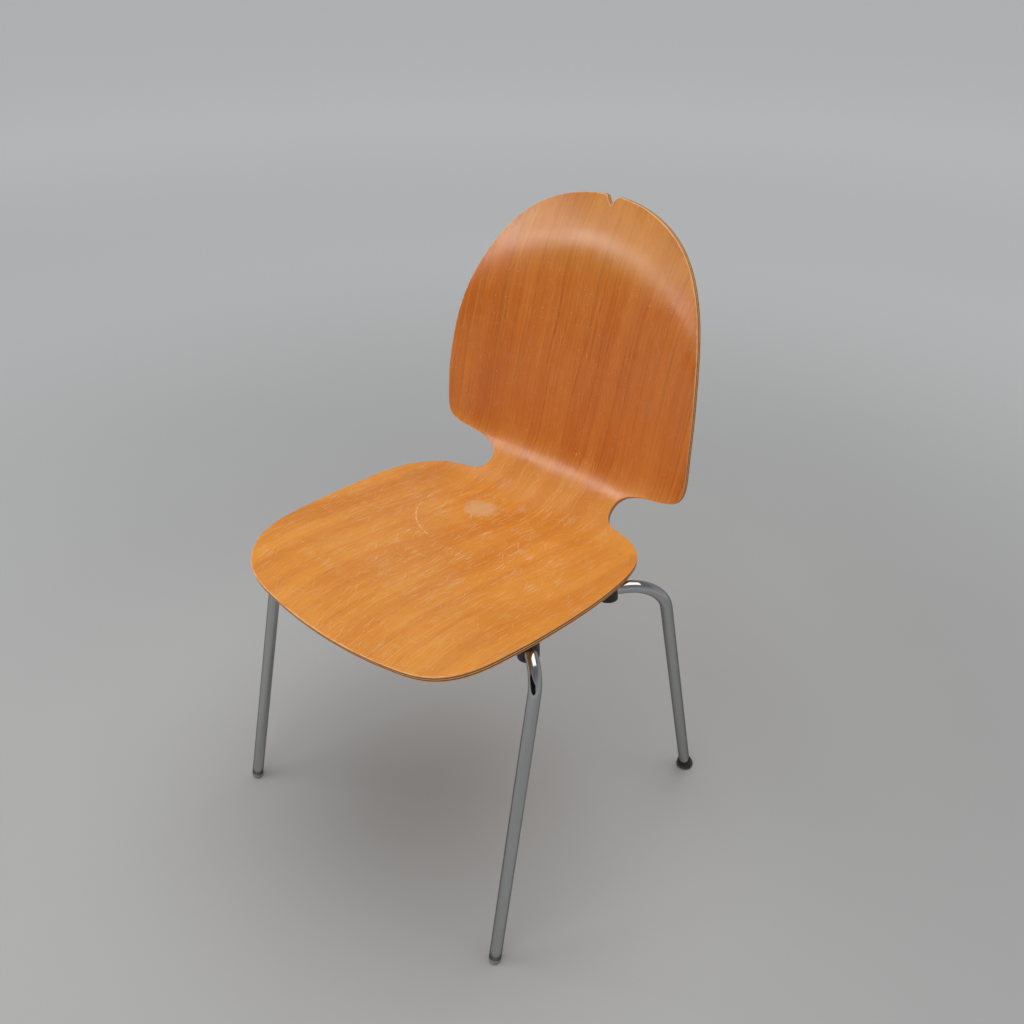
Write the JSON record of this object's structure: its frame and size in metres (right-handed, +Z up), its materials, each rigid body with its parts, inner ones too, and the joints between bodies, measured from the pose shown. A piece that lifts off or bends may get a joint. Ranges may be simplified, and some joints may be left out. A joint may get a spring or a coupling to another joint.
{
  "type": "stacking chair",
  "caption": "Stacking chair with a moulded plywood shell, narrow at the waist, on a frame of bent chromed tubes with plastic feet.",
  "frame": {"origin": "on the floor, at the centre of the footprint box of the whole chair", "axes": "+Z up, +Y from the front edge of the seat towards the back, +X to the sitter's left; the chair faces -Y"},
  "size_m": [0.515, 0.5418, 0.8164],
  "materials": {
    "veneered_plywood": "clear lacquer, worn",
    "birch_plywood": "unfinished",
    "zinc_plate": "zinc plated",
    "bare_steel": "dull",
    "chrome_tube": "bright chrome plate",
    "black_plastic": "moulded",
    "grey_plastic": "moulded",
    "black_rubber": "moulded, dusty"
  },
  "bodies": {
    "root": {"seat_shell": "veneered_plywood", "mounting_block": "birch_plywood", "threaded_inserts": "zinc_plate", "seat_plate": "bare_steel", "frame_screws": "zinc_plate", "spring_washers": "zinc_plate", "weld_beads": "bare_steel", "frame_tube_front": "chrome_tube", "frame_tube_rear": "chrome_tube", "seat_pad_front_left": "black_plastic", "seat_pad_front_right": "black_plastic", "seat_pad_rear_left": "black_plastic", "seat_pad_rear_right": "black_plastic", "foot_front_left": "grey_plastic", "foot_front_right": "grey_plastic", "foot_rear_left": "black_rubber", "foot_rear_right": "black_rubber"}
  },
  "joints": []
}
